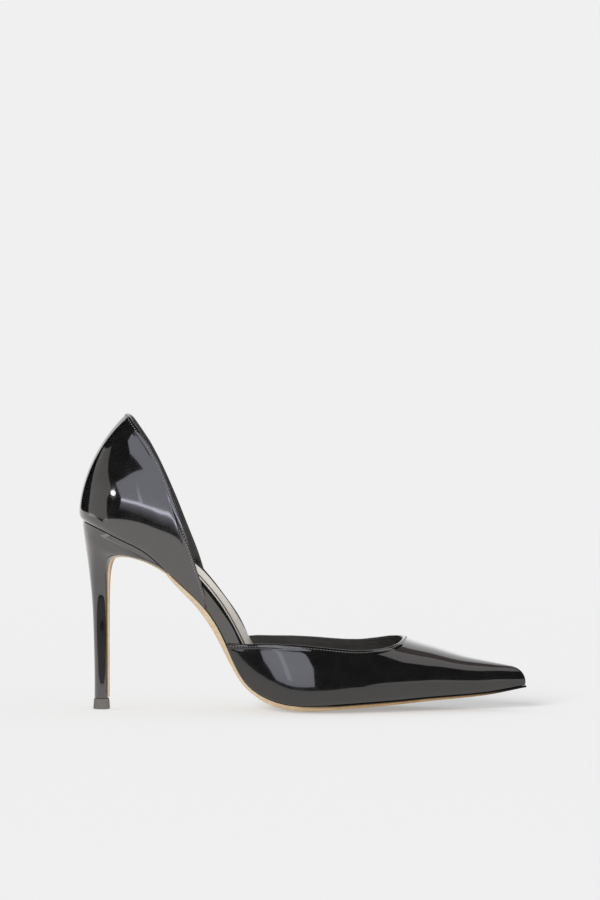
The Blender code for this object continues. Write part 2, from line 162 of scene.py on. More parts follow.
class LastSide:
    """One side of the last. A place on it is a length along the feather edge and a share of the way up.

    Four sections of the other side carry on past the heel and past the toe, so the two sides meet smoothly.
    """

    def __init__(self, sign, column):
        rows, across = (LAST[:, [0, pick, 1, 4, 5, 6, 7, 8, 9]] for pick in (column, 5 - column))
        rows[:, 1] *= sign
        across[:, 1] *= -sign
        lengths = np.concatenate([[0], np.cumsum(LAST_CHORDS)])
        self.sign = sign
        self.rows = np.vstack([across[4:0:-1], rows, across[-2:-6:-1]])
        self.steps = np.concatenate([-lengths[4:0:-1], lengths, 2 * LAST_LENGTH - lengths[-2:-6:-1]])
        self.fine = np.linspace(0, LAST_LENGTH, 2001)
        self.edge = spline(self.fine, self.steps, self.rows)[:, :3]
        self.by_x = np.maximum.accumulate(self.edge[:, 0] + self.fine * 1e-9)

    def along(self, x):
        return np.interp(x, self.by_x, self.fine)

    def edge_y(self, x):
        return np.interp(x, self.by_x, self.edge[:, 1])

    def outward(self, t):
        """The level way out from the last at each place along it."""
        ahead = spline(t + 0.05, self.steps, self.rows)[:, :2]
        behind = spline(t - 0.05, self.steps, self.rows)[:, :2]
        turn = np.stack([ahead[:, 1] - behind[:, 1], behind[:, 0] - ahead[:, 0]], axis=1)
        return -self.sign * turn / np.linalg.norm(turn, axis=1, keepdims=True)

    def point(self, t, v):
        """Points on the last at places along it and shares of the way up."""
        row = spline(t, self.steps, self.rows)
        edge, ridge = row[:, :3], row[:, 3:6]
        turn = np.clip(v, 0, 1) * math.pi / 2
        inward = 1 - np.cos(turn) ** (2 / row[:, 6])
        rise = np.sin(turn) ** (2 / row[:, 6])
        flat = edge[:, :2] + (ridge - edge)[:, :2] * inward[:, None]
        root = np.clip(v, 0, 1) ** row[:, 8]
        flat = flat + self.outward(t) * (row[:, 7] * 4 * root * (1 - root))[:, None]
        return np.column_stack([flat, edge[:, 2] + (ridge - edge)[:, 2] * rise])

    def topline(self, t, line):
        """How far up each section the topline cuts it, or 1 where the section stays under it."""
        share = np.linspace(0, 1, 241)
        cuts = []
        for place in t:
            points = self.point(np.full(share.shape, place), share)
            over = points[:, 2] - np.interp(points[:, 0], line[:, 0], line[:, 1])
            over[points[:, 0] > line[-1, 0]] = -1
            above = np.flatnonzero(over > 0)
            if len(above) == 0 or above[0] == 0:
                cuts.append(1.0 if len(above) == 0 else share[1])
                continue
            k = above[0]
            cuts.append(share[k - 1] + (share[k] - share[k - 1]) * over[k - 1] / (over[k - 1] - over[k]))
        return np.array(cuts)

    def sheet(self, low, high, top, rows, edge):
        """A grid on the last: columns from places on the feather edge that lean to places at the top.

        Rows lie closest along the folded edge, and the foot of each column turns in under the sole.
        """
        share = np.linspace(0, 1, 240)
        columns = []
        for a, b, v in zip(low, high, top):
            fine = self.point(a + (b - a) * share**LEAN_POWER, share * v)
            reach = np.min(np.linalg.norm(fine[:, None] - edge[None], axis=2), axis=1)[::-1]
            start = reach[0]
            reach = np.maximum.accumulate(reach) - start + np.arange(len(share)) * 1e-6
            near = np.interp(FOLD_ROWS * min(1, reach[-1] / FOLD_SHORT), reach, share[::-1])
            far = np.linspace(near[-1], 0, rows - len(FOLD_ROWS) + 1)[1:]
            plain = np.linspace(1, 0, rows)
            folded = plain + (np.concatenate([near, far]) - plain) * math.exp(-start / FOLD_FADE)
            at = a + (b - a) * folded[::-1] ** LEAN_POWER
            column = self.point(at, folded[::-1] * v)
            foot = self.point(np.array([a, a]), np.zeros(2))
            foot[:, :2] -= self.outward(np.array([a, a])) * TURN_IN
            column[0, 2] += FOOT_LIFT
            columns.append(np.vstack([foot, column]))
        return np.stack(columns)


OUTER = LastSide(-1, 2)
INNER = LastSide(1, 3)


def soften(line, reach):
    """A line of x and heights with its corners rounded over about the given reach."""
    step = 0.25
    x = np.arange(line[0, 0], line[-1, 0], step)
    pad = math.ceil(4 * reach / step)
    near = np.exp(-0.5 * (np.arange(-pad, pad + 1) * step / reach) ** 2)
    heights = np.pad(np.interp(x, line[:, 0], line[:, 1]), pad, mode="edge")
    return np.column_stack([x, np.convolve(heights, near / near.sum(), mode="valid")])


def hang(name, mesh):
    made = bpy.data.objects.new(name, mesh)
    bpy.context.scene.collection.objects.link(made)
    return made


def weld(name, work, near, thin):
    """A smooth mesh from a worked one: near points joined, thin faces dropped, all faces turned one way."""
    bmesh.ops.remove_doubles(work, verts=work.verts, dist=near)
    bmesh.ops.dissolve_degenerate(work, edges=work.edges, dist=thin)
    bmesh.ops.recalc_face_normals(work, faces=work.faces)
    mesh = bpy.data.meshes.new(name)
    work.to_mesh(mesh)
    work.free()
    mesh.shade_smooth()
    return mesh


def stretch(name, halves, topline):
    """A leather sheet from grids of points on its face, shaped as a fold along the topline if it has one."""
    work = bmesh.new()
    for flip, grid in halves:
        count, rows = grid.shape[:2]
        verts = [work.verts.new((p - MIDDLE) * MM) for p in grid.reshape(-1, 3)]
        for i in range(count - 1):
            for j in range(rows - 1):
                a = i * rows + j
                face = [verts[a], verts[a + rows], verts[a + rows + 1], verts[a + 1]]
                work.faces.new(face[::-1] if flip else face)
    mesh = weld(name, work, 2e-5, 1e-6)
    middle = sum((v.co for v in mesh.vertices), Vector()) / len(mesh.vertices)
    middle.y = 0
    if sum(face.area * face.normal.dot(face.center - middle) for face in mesh.polygons) < 0:
        mesh.flip_normals()
    if topline is not None:
        places = np.array([v.co for v in mesh.vertices]) / MM + MIDDLE
        reach = np.min(np.linalg.norm(places[:, None] - topline[None], axis=2), axis=1)
        stands = np.interp(reach, FOLD_ROWS, FOLD_STANDS)
        normals = np.array([v.normal for v in mesh.vertices])
        places = places + normals * stands[:, None]
        mesh.vertices.foreach_set("co", ((places - MIDDLE) * MM).astype(np.float32).reshape(-1))
    return hang(name, mesh)


def line_up(made, wall, face_leather, lining):
    """Gives a leather sheet its thickness, with the lining inside and the edge folded round."""
    made.data.materials.append(face_leather)
    made.data.materials.append(lining)
    thick = made.modifiers.new("thickness", "SOLIDIFY")
    thick.thickness = wall * MM
    thick.offset = -1
    thick.use_quality_normals = True
    thick.material_offset = 1
    thick.material_offset_rim = 0
    fold = made.modifiers.new("folded edges", "SUBSURF")
    fold.levels = fold.render_levels = 1


def fill(tree, node, inputs):
    """Gives a node its inputs, as values or as sockets to join."""
    for name, value in inputs.items():
        if isinstance(value, bpy.types.NodeSocket):
            tree.links.new(value, node.inputs[name])
        else:
            node.inputs[name].default_value = value


def knot(tree, kind, inputs, **settings):
    """A shader or geometry node with its settings and its inputs."""
    made = tree.nodes.new(kind)
    for name, value in settings.items():
        setattr(made, name, value)
    fill(tree, made, inputs)
    return made


def finish_of(name):
    """A new material with its nodes, its shader and the place on the piece that its patterns follow."""
    made = bpy.data.materials.new(name)
    made.use_nodes = True
    place = knot(made.node_tree, "ShaderNodeTexCoord", {}).outputs["Object"]
    return made, made.node_tree, made.node_tree.nodes["Principled BSDF"], place


def patches(tree, place, scale, detail, rough=0.5):
    """Soft random patches, smaller as the scale grows."""
    sizes = {"Vector": place, "Scale": scale, "Detail": detail, "Roughness": rough}
    return knot(tree, "ShaderNodeTexNoise", sizes).outputs["Fac"]


def pores(tree, place, scale):
    """The close round cells of a leather's grain."""
    return knot(tree, "ShaderNodeTexVoronoi", {"Vector": place, "Scale": scale}).outputs["Distance"]


def two_tone(tree, pattern, dark, pale, low=0.3, high=0.7):
    """A colour that eases from dark to pale as the pattern goes from low to high."""
    made = knot(tree, "ShaderNodeValToRGB", {"Fac": pattern})
    made.color_ramp.interpolation = "EASE"
    for stop, at, colour in zip(made.color_ramp.elements, (low, high), (dark, pale)):
        stop.position = at
        stop.color = (*colour, 1)
    return made.outputs["Color"]


def blend(tree, share, one, two):
    """One colour that turns into another with the share."""
    return knot(tree, "ShaderNodeMix", {0: share, 6: one, 7: two}, data_type="RGBA").outputs[2]


def relief(tree, pattern, deep):
    """A surface raised by a pattern, to a depth in metres."""
    return knot(tree, "ShaderNodeBump", {"Distance": deep, "Height": pattern}).outputs["Normal"]


def between(tree, value, least, most, low=0.3, high=0.7, ease="LINEAR"):
    """A number that goes from least to most as the value goes from low to high."""
    spread = {"Value": value, "From Min": low, "From Max": high, "To Min": least, "To Max": most}
    return knot(tree, "ShaderNodeMapRange", spread, interpolation_type=ease).outputs["Result"]


def coat(tree, shader, tint, surface, rough):
    """Gives a shader its colour, its relief and its roughness."""
    fill(tree, shader, {"Base Color": tint, "Normal": surface, "Roughness": rough})


def patent(name):
    """Black leather under a clear glossy film that is never quite flat."""
    made, tree, shader, place = finish_of(name)
    haze = patches(tree, place, 160.0, 4.0)
    tint = two_tone(tree, haze, (0.0100, 0.0096, 0.0094), (0.0135, 0.0130, 0.0128))
    waved = relief(tree, patches(tree, place, 70.0, 1.5, 0.4), 0.00006)
    coat(tree, shader, tint, waved, between(tree, haze, 0.07, 0.13))
    fill(tree, shader, {"IOR": 1.6, "Coat Weight": 1.0, "Coat Roughness": 0.02, "Coat IOR": 1.8})
    fill(tree, shader, {"Coat Normal": waved})
    return made


def lining_leather():
    """Charcoal lining leather: fine pores, a dull grain and a little wear."""
    made, tree, shader, place = finish_of("charcoal lining leather")
    cloud = patches(tree, place, 130.0, 5.0)
    tint = two_tone(tree, cloud, (0.066, 0.065, 0.062), (0.092, 0.09, 0.087))
    grain = relief(tree, pores(tree, place, 1500.0), 0.00004)
    coat(tree, shader, tint, grain, between(tree, cloud, 0.36, 0.48))
    return made


patent_upper = patent("black patent leather")
lining = lining_leather()
vamp_start = OUTER.along(VAMP_BACK_X)
vamp_cuts = []
for side, column in ((OUTER, 1), (INNER, 2)):
    t = np.linspace(vamp_start, OUTER.along(VAMP_TOPLINE[-1, 0]) + 6, 700)
    v = side.topline(t, soften(VAMP_TOPLINE[:, [0, column]], VAMP_SOFT))
    vamp_cuts.append((t[v < 1], np.maximum.accumulate(v[v < 1])))
# Round the throat both toplines follow the square and higher powers of the share left to the ridge, so that
# they meet squarely.
near = [(t[v > THROAT_FROM], 1 - v[v > THROAT_FROM]) for t, v in vamp_cuts]
powers = [np.column_stack([left**2, left**3, left**4]) for _, left in near]
blank = [np.zeros(part.shape) for part in powers]
whole = np.vstack([np.hstack([powers[0], blank[0]]), np.hstack([blank[1], powers[1]])])
whole = np.column_stack([np.ones(len(whole)), whole])
fit = np.linalg.lstsq(whole, np.concatenate([t for t, _ in near]), rcond=None)[0]
throat_at = fit[0]
vamp_ways = []
vamp_edges = []
for (t, v), side, terms in zip(vamp_cuts, (OUTER, INNER), (fit[1:4], fit[4:7])):
    share = np.concatenate([v[v < 0.8], np.linspace(0.8, 1, 200)[1:]])
    cut = np.interp(share, v, t)
    left = 1 - share
    round_throat = throat_at + terms[0] * left**2 + terms[1] * left**3 + terms[2] * left**4
    ease = np.interp(share, THROAT_EASE, (0, 1))
    ease = ease * ease * (3 - 2 * ease)
    cut = cut + (round_throat - cut) * ease
    steps = np.linalg.norm(np.diff(side.point(cut, share), axis=0), axis=1)
    spread = np.concatenate([[0], np.cumsum(steps)])
    even = np.linspace(0, spread[-1], VAMP_SIDE_COLUMNS)
    high = np.interp(even, spread, cut)
    low = high + VAMP_LEAN * np.linspace(0, 1, VAMP_SIDE_COLUMNS) ** 4
    toe_long = LAST_LENGTH - throat_at
    ahead = np.concatenate([FOLD_ROWS[1:], np.linspace(FOLD_ROWS[-1], toe_long, VAMP_TOE_COLUMNS)[1:]])
    top = np.concatenate([np.interp(even, spread, share), np.ones(len(ahead))])
    high = np.concatenate([high, throat_at + ahead])
    low = np.concatenate([low, throat_at + VAMP_LEAN + ahead * (1 - VAMP_LEAN / toe_long)])
    vamp_ways.append((low, high, top))
    fine = np.linspace(0, spread[-1], 400)
    vamp_edges.append(side.point(np.interp(fine, spread, cut), np.interp(fine, spread, share)))
vamp_edge = np.vstack([vamp_edges[0], vamp_edges[1][-2::-1]])
vamp_halves = [side.sheet(*way, VAMP_ROWS, vamp_edge) for side, way in zip((OUTER, INNER), vamp_ways)]
throat = VAMP_SIDE_COLUMNS - 1
vamp = stretch("vamp", [(False, vamp_halves[0]), (True, vamp_halves[1])], vamp_edge)
line_up(vamp, UPPER_WALL, patent_upper, lining)
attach(vamp, "root")
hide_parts("upper")

# Quarter. One piece of the same leather round the heel, rising to a peak at the back, folded and stitched
# along the topline down to a point at the waist on each side.
QUARTER_FRONT_X = -49.6
QUARTER_COLUMNS = 64
QUARTER_ROWS = 34
QUARTER_SOFT = 0.8
BEHIND_X = -130.0
# The topline in side view: height, and x on the outer side and on the inner side.
QUARTER_TOPLINE = np.array([
    (154.6, -91.3, -91.3), (154.0, -90.2, -90.2), (146.8, -84.8, -85.8), (138.9, -79.0, -80.9),
    (129.5, -73.4, -76.1), (120.0, -69.2, -71.8), (109.3, -65.2, -67.2), (99.0, -61.6, -63.1),
    (89.0, -58.3, -59.0), (81.6, -56.0, -56.0), (71.2, -52.7, -52.7), (63.0, -49.9, -50.5),
    (55.0, -48.0, -48.6), (48.0, -46.6, -47.0),
])
quarter_places = np.linspace(0, OUTER.along(QUARTER_FRONT_X), 500)
quarter_ways = []
quarter_edges = []
for side, column in ((OUTER, 1), (INNER, 2)):
    line = np.vstack([(BEHIND_X, QUARTER_TOPLINE[0, 0]), QUARTER_TOPLINE[:, [column, 0]]])
    cut = side.topline(quarter_places, soften(line, QUARTER_SOFT))
    quarter_edges.append(side.point(quarter_places, cut))
    steps = np.linalg.norm(np.diff(quarter_edges[-1], axis=0), axis=1)
    steps += 0.5 * np.diff(quarter_places)
    spread = np.concatenate([[0], np.cumsum(steps)])
    even = np.interp(np.linspace(0, spread[-1], QUARTER_COLUMNS), spread, quarter_places)
    quarter_ways.append((even, even, np.interp(even, quarter_places, cut)))
quarter_edge = np.vstack([quarter_edges[0][::-1], quarter_edges[1][1:]])
quarter_halves = [
    side.sheet(*way, QUARTER_ROWS, quarter_edge) for side, way in zip((OUTER, INNER), quarter_ways)
]
quarter = stretch("quarter", [(False, quarter_halves[0]), (True, quarter_halves[1])], quarter_edge)
line_up(quarter, UPPER_WALL, patent_upper, lining)
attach(quarter, "root")
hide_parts("upper")

# Waist strips. A narrow band of patent leather on each side of the waist, tucked under the quarter and the
# vamp, lasted up from the sole and rolled over the edge of the insole board.
STRIP_X = (-58.0, -30.0)
STRIP_INSET = 0.7
STRIP_WALL = 0.9
STRIP_INNER_LIFT = 2.6
STRIP_TOP = np.array([
    (-60, 77.5), (-52.1, 68.7), (-47.2, 62.9), (-39.2, 52.1), (-33.1, 42.1), (-30.3, 35.6), (-27, 27.6),
])
# Across the strip: inset from its face, and height as a share of the strip and then in millimetres.
STRIP_ROLL = [
    (0, 0, 0), (0, 0.3, 0), (0, 0.6, 0), (0, 0.85, -0.7), (0.12, 1, -1.1), (0.5, 1, -0.4), (1.2, 1, 0.0),
    (2.2, 1, 0.05),
]


def feather(x):
    """Height of the feather edge by x."""
    return np.interp(x, OUTER.by_x, OUTER.edge[:, 2])


patent_strip = patent("black patent strip")
strips = []
for side, name, lift in (
    (OUTER, "waist_strip_outer", 0.0),
    (INNER, "waist_strip_inner", STRIP_INNER_LIFT),
):
    strip_x = np.linspace(*STRIP_X, 40)
    low = feather(strip_x)
    high = spline(strip_x, STRIP_TOP[:, 0], STRIP_TOP[:, 1])[:, 0] + lift
    steep = np.sqrt(1 + np.gradient(high, strip_x) ** 2)
    columns = []
    for inset, share, over in STRIP_ROLL:
        y = side.edge_y(strip_x) - side.sign * (STRIP_INSET + inset)
        columns.append(np.column_stack([strip_x, y, low + (high - low) * share + over * steep]))
    strip = stretch(name, [(side is INNER, np.stack(columns, axis=1))], None)
    line_up(strip, STRIP_WALL, patent_strip, lining)
    strip.modifiers["folded edges"].levels = strip.modifiers["folded edges"].render_levels = 2
    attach(strip, "root")
    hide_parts("upper")
    strips.append(strip)

# Topline stitches. One row of fine waxed thread along the folded edge of the vamp and of the quarter, sewn
# through the doubled leather and its lining. Its mid grey is painted highlight on black thread, so that it
# shows on the black.
STITCH_IN = 1.45
STITCH_SIZES = {"Pitch": 1.6, "Length": 0.8, "Thickness": 0.6}


def thread():
    """Waxed thread painted grey as painted highlight: twisted, with a satin gloss."""
    made, tree, shader, place = finish_of("waxed thread painted grey for highlight")
    twist = patches(tree, place, 4000.0, 2.0)
    # Painted highlight: mid grey in place of the light that black thread catches.
    tint = two_tone(tree, twist, (0.24, 0.24, 0.242), (0.36, 0.36, 0.362), 0.35, 0.65)
    coat(tree, shader, tint, relief(tree, twist, 0.00003), 0.32)
    return made


def seam_line(sheet, columns, edge, inset):
    """Points on a sheet's face at an even distance from its edge, with the face's normal at each."""
    face = BVHTree.FromObject(sheet, bpy.context.evaluated_depsgraph_get())
    spots = []
    for column in columns:
        reach = np.min(np.linalg.norm(column[:, None] - edge[None], axis=2), axis=1)
        under = np.flatnonzero(reach[::-1] > inset)
        if len(under) == 0:
            continue
        k = len(column) - 1 - under[0]
        f = (reach[k] - inset) / max(reach[k] - reach[k + 1], 1e-6)
        spots.append(column[k] + (column[k + 1] - column[k]) * f)
    found = [face.find_nearest(Vector((spot - MIDDLE) * MM)) for spot in spots]
    return [spot for spot, _, _, _ in found], [normal for _, normal, _, _ in found]


def stitch_tree():
    """Geometry nodes that lay one rounded stitch after another along a path, on the face it follows."""
    tree = bpy.data.node_groups.new("topline stitches", "GeometryNodeTree")
    face = tree.interface
    face.new_socket("Geometry", in_out="INPUT", socket_type="NodeSocketGeometry")
    for label in STITCH_SIZES:
        face.new_socket(label, in_out="INPUT", socket_type="NodeSocketFloat")
    face.new_socket("Geometry", in_out="OUTPUT", socket_type="NodeSocketGeometry")
    given = tree.nodes.new("NodeGroupInput").outputs
    path = knot(tree, "GeometryNodeMeshToCurve", {"Mesh": given["Geometry"]})
    spaced = {"Curve": path.outputs["Curve"], "Length": given["Pitch"]}
    evenly = knot(tree, "GeometryNodeResampleCurve", spaced, mode="LENGTH")
    lie = knot(tree, "GeometryNodeInputNamedAttribute", {"Name": "face_normal"}, data_type="FLOAT_VECTOR")
    along = tree.nodes.new("GeometryNodeInputTangent")
    turned = knot(tree, "FunctionNodeAlignRotationToVector", {"Vector": along.outputs["Tangent"]}, axis="X")
    laid = knot(
        tree,
        "FunctionNodeAlignRotationToVector",
        {"Rotation": turned.outputs["Rotation"], "Vector": lie.outputs["Attribute"]},
        axis="Z",
        pivot_axis="X",
    )
    ball = knot(tree, "GeometryNodeMeshUVSphere", {"Segments": 8, "Rings": 6, "Radius": 0.5})
    sides = {"X": given["Length"], "Y": given["Thickness"], "Z": given["Thickness"]}
    size = knot(tree, "ShaderNodeCombineXYZ", sides)
    sewn = knot(
        tree,
        "GeometryNodeInstanceOnPoints",
        {
            "Points": evenly.outputs["Curve"],
            "Instance": ball.outputs["Mesh"],
            "Rotation": laid.outputs["Rotation"],
            "Scale": size.outputs["Vector"],
        },
    )
    real = knot(tree, "GeometryNodeRealizeInstances", {"Geometry": sewn.outputs["Instances"]})
    soft = knot(tree, "GeometryNodeSetShadeSmooth", {"Geometry": real.outputs["Geometry"]})
    knot(tree, "NodeGroupOutput", {"Geometry": soft.outputs["Geometry"]})
    return tree


thread_with_painted_highlight = thread()
stitching = stitch_tree()
ridge = vamp_halves[0][throat : throat + 8, -1][::-1]
vamp_columns = [*vamp_halves[0][2:throat], ridge, *vamp_halves[1][2:throat][::-1]]
quarter_columns = [*quarter_halves[0][1:-1][::-1], *quarter_halves[1][:-1]]
for name, sheet, columns, edge in (
    ("vamp_stitches", vamp, vamp_columns, vamp_edge),
    ("quarter_stitches", quarter, quarter_columns, quarter_edge),
):
    points, normals = seam_line(sheet, columns, edge, STITCH_IN)
    path = bpy.data.meshes.new(name)
    path.from_pydata(points, [(i, i + 1) for i in range(len(points) - 1)], [])
    lies = path.attributes.new("face_normal", "FLOAT_VECTOR", "POINT")
    lies.data.foreach_set("vector", np.array(normals, np.float32).reshape(-1))
    row = hang(name, path)
    sew = row.modifiers.new("sew", "NODES")
    sew.node_group = stitching
    for socket in stitching.interface.items_tree:
        if socket.name in STITCH_SIZES:
            sew[socket.identifier] = STITCH_SIZES[socket.name] * MM
    sewn = bpy.data.meshes.new_from_object(row.evaluated_get(bpy.context.evaluated_depsgraph_get()))
    row.modifiers.remove(sew)
    sewn.materials.clear()
    sewn.materials.append(thread_with_painted_highlight)
    row.data = sewn
    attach(row, "root")

# Insole. A board with its shank under a thin sock of pale champagne leather, glued in from heel to toe,
# with a turned bead and a pressed line round the sock. Any printing on it is left off.
SOCK_INSET = 1.62
# It is set farther in at the waist, and farther still as it runs out into the toe.
WAIST_INSET = 2.05
WAIST_X = -44.0
WAIST_LONG = 14.0
TOE_INSET = 2.0
TOE_INSET_X = (98.0, 112.0)
# Lengths along the last at the heel and the toe where the sock is drawn with closer sections.
SOCK_HEEL_END = 12.0
SOCK_TOE_END = 6.0
# The sock's face stays clear of the feather edge, and the board sits lower on the heel seat, where its dark
# edge fills the seam under the quarter and stands in for the seam's shade.
SOCK_LEAST = 0.3
SEAT_DROP = 0.8
SEAT_X = (-70.0, -66.0)
INSOLE_TOP = np.array([
    (-114.0, 103.2), (-105.0, 100.0), (-93.0, 95.2), (-82.0, 90.4), (-72.0, 84.6), (-62.0, 78.2),
    (-53.3, 71.6), (-47.9, 65.6), (-40.4, 56.0), (-33.4, 44.6), (-28.5, 35.4), (-22.0, 24.5),
    (-15.0, 15.5), (-6.0, 10.2), (6.0, 8.0), (20.0, 7.6), (36.0, 7.9), (52.0, 8.6), (68.0, 9.6),
    (84.0, 10.4), (98.0, 11.4), (115.0, 13.8),
])
# Across the sock from its edge: distance in from the edge, and depth under its face.
SOCK_EDGE = [
    (0.0, 2.6), (0.0, 1.6), (0.12, 1.0), (0.4, 0.78), (1.0, 0.72), (3.2, 0.72), (3.45, 1.0), (3.7, 1.0),
    (3.8, 0.4), (4.05, 0.12), (4.7, 0.0),
]
# The rows at the bottom of the pressed line, painted near black as painted shade in the groove.
PRESSED_ROWS = [6, 7]
SOCK_DOME = 0.7
# The edge's rows close up and the dome sinks where the sock is narrower than these.
EDGE_NARROW = 14.0
DOME_NARROW = 20.0
# Faces whose normal rises less than this, or points down past this, are the board's edge and underside.
BOARD_UPRIGHT = 0.25
BOARD_DOWN = -0.2


def loft(name, rings):
    """A closed solid through rings of equal length, its two ends closed."""
    work = bmesh.new()
    verts = [[work.verts.new((np.asarray(p) - MIDDLE) * MM) for p in ring] for ring in rings]
    count = len(rings[0])
    for one, two in zip(verts, verts[1:]):
        for j in range(count):
            k = (j + 1) % count
            work.faces.new((one[j], one[k], two[k], two[j]))
    work.faces.new(verts[0][::-1])
    work.faces.new(verts[-1])
    mesh = weld(name, work, 1e-6, 1e-7)
    mesh.set_sharp_from_angle(angle=math.radians(50))
    return hang(name, mesh)


def picked(mesh, rings, rows):
    """1 for each vertex of a lofted mesh that came from one of the rows of its rings, and 0 for the rest."""
    spots = np.vstack([ring[rows] for ring in rings])
    spots = {tuple(np.round((spot - MIDDLE) * MM, 6)) for spot in spots}
    return np.array([float(tuple(np.round(v.co, 6)) in spots) for v in mesh.vertices])


def mark(mesh, name, shares):
    """Stores a share at each vertex, for a material to read."""
    stored = mesh.attributes.new(name, "FLOAT", "POINT")
    stored.data.foreach_set("value", np.asarray(shares, np.float32))


def sock_leather():
    """Champagne leather with a faint metallic bloom and fine grain, painted darker lower down, towards the
    ball, as painted shade.
    """
    made, tree, shader, place = finish_of("champagne sock leather")
    cloud = patches(tree, place, 90.0, 5.0)
    sock_tint = two_tone(tree, cloud, (0.72, 0.665, 0.59), (0.80, 0.745, 0.665))
    painted_shade_tint = two_tone(tree, cloud, (0.4, 0.365, 0.31), (0.465, 0.43, 0.37))
    height = knot(tree, "ShaderNodeSeparateXYZ", {0: place}).outputs["Z"]
    # Painted shade: darker lower down, where the sock runs down into the vamp towards the ball.
    tint = blend(tree, between(tree, height, 0, 1, 0.038, 0.066), painted_shade_tint, sock_tint)
    groove_shade = knot(tree, "ShaderNodeAttribute", {}, attribute_name="groove_shade").outputs["Fac"]
    # Painted shade: the bottom of the pressed line is painted near black.
    with_groove_shade = blend(tree, groove_shade, tint, (0.05, 0.045, 0.04, 1))
    grain = relief(tree, pores(tree, place, 1300.0), 0.00003)
    coat(tree, shader, with_groove_shade, grain, between(tree, cloud, 0.34, 0.46))
    fill(tree, shader, {"Metallic": 0.25})
    return made


def board_edge():
    """The insole board's edge under its black edge ink, a little fibrous."""
    made, tree, shader, place = finish_of("inked board edge")
    fibre = patches(tree, place, 700.0, 4.0)
    tint = two_tone(tree, fibre, (0.014, 0.013, 0.012), (0.03, 0.028, 0.026))
    coat(tree, shader, tint, relief(tree, fibre, 0.00006), 0.6)
    return made


sock_places = np.concatenate([
    np.linspace(0, SOCK_HEEL_END, 14)[:-1],
    np.linspace(SOCK_HEEL_END, LAST_LENGTH - SOCK_TOE_END, 130),
    np.linspace(LAST_LENGTH - SOCK_TOE_END, LAST_LENGTH, 8)[1:],
])
sock_rings = []
for place in sock_places:
    here = np.array([place])
    pair = []
    for side in (OUTER, INNER):
        edge = side.point(here, np.zeros(1))[0, :2]
        at_waist = math.exp(-(((edge[0] - WAIST_X) / WAIST_LONG) ** 4))
        inset = SOCK_INSET + (WAIST_INSET - SOCK_INSET) * at_waist
        inset += TOE_INSET * np.interp(edge[0], TOE_INSET_X, (0, 1))
        pair.append(edge - side.outward(here)[0] * inset)
    wide = max(np.linalg.norm(pair[1] - pair[0]), 0.05)
    ins = np.array([inset for inset, _ in SOCK_EDGE]) * min(1, wide / EDGE_NARROW)
    deep = np.array([depth for _, depth in SOCK_EDGE])
    middle = np.linspace(ins[-1] / wide, 1 - ins[-1] / wide, 14)[1:-1]
    share = np.concatenate([ins / wide, middle, 1 - ins[::-1] / wide])
    under = np.concatenate([deep, np.zeros(middle.shape), deep[::-1]])
    flat = pair[0] + (pair[1] - pair[0]) * share[:, None]
    top = spline(flat[:, 0], INSOLE_TOP[:, 0], INSOLE_TOP[:, 1])[:, 0]
    slope = (spline(flat[:, 0] + 0.5, INSOLE_TOP[:, 0], INSOLE_TOP[:, 1])[:, 0] - top) / 0.5
    dome = SOCK_DOME * 4 * share * (1 - share) * min(1, wide / DOME_NARROW)
    face = np.column_stack([flat, top + dome - under * np.sqrt(1 + slope**2)])
    face[:, 2] = np.maximum(face[:, 2], feather(flat[:, 0]) + SOCK_LEAST)
    ends = flat[[-1, 0]]
    base = feather(ends[:, 0]) - SEAT_DROP * np.interp(ends[:, 0], SEAT_X, (1, 0))
    sock_rings.append(np.vstack([face, np.column_stack([ends, base])]))
insole = loft("insole_sock", sock_rings)
insole.data.materials.append(sock_leather())
insole.data.materials.append(board_edge())
# Two points of the board's foot end each ring, after the far edge of the sock.
groove_shade_rows = [*PRESSED_ROWS, *(-3 - k for k in PRESSED_ROWS)]
# The bottom of the pressed line is marked here for its painted shade.
mark(insole.data, "groove_shade", picked(insole.data, sock_rings, groove_shade_rows))
for face in insole.data.polygons:
    upright = abs(face.normal.z) < BOARD_UPRIGHT and len(face.vertices) == 4
    if upright or face.normal.z < BOARD_DOWN:
        face.material_index = 1
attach(insole, "root")
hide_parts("insole")

# Outsole. One thin bend of tan leather, glued on from the toe to the heel seat, its edge sanded and waxed,
# black round the point of the toe and darkened along its top beside the upper as painted shade, and turned
# down the breast of the heel as a flap.
SOLE_GAP = 0.1
SOLE_TOE_X = 116.0
SOLE_BACK_X = -66.6
# Its outline is the feather edge's, set back, and no farther forward than the tip.
SOLE_SET_BACK = 0.3
SOLE_TIP_X = 115.4
# The tread swells under the ball of the foot.
SOLE_CROWN = 1.82
BALL_X = 4.0
BALL_LONG = 26.0
FLAP_SUNK = 0.4
SOLE_BEVEL = 0.6
# Down the edge: how far it stands out, in millimetres and by the bevel, and its share of the thickness.
SOLE_EDGE = [(0.06, 0.0, 0.12), (0.08, 0.0, 0.55), (0.0, -0.35, 0.88)]
# Where the edge's black starts and where it is full: round the toe, and along the line beside the upper,
# where the black is painted shade in the gap under the upper.
TOE_BLACK_X = (84.0, 106.0)
GAP_SHADE_X = (-5.0, 20.0)
SOLE_THICK = np.array([
    (-68.0, 1.4), (-63.0, 1.9), (-56.0, 2.4), (-46.0, 2.9), (-40.0, 2.6), (-33.0, 1.7), (-24.0, 1.6),
    (-14.0, 2.3), (0.0, 2.2), (20.0, 2.2), (50.0, 1.9), (90.0, 1.3), (116.0, 1.0),
])
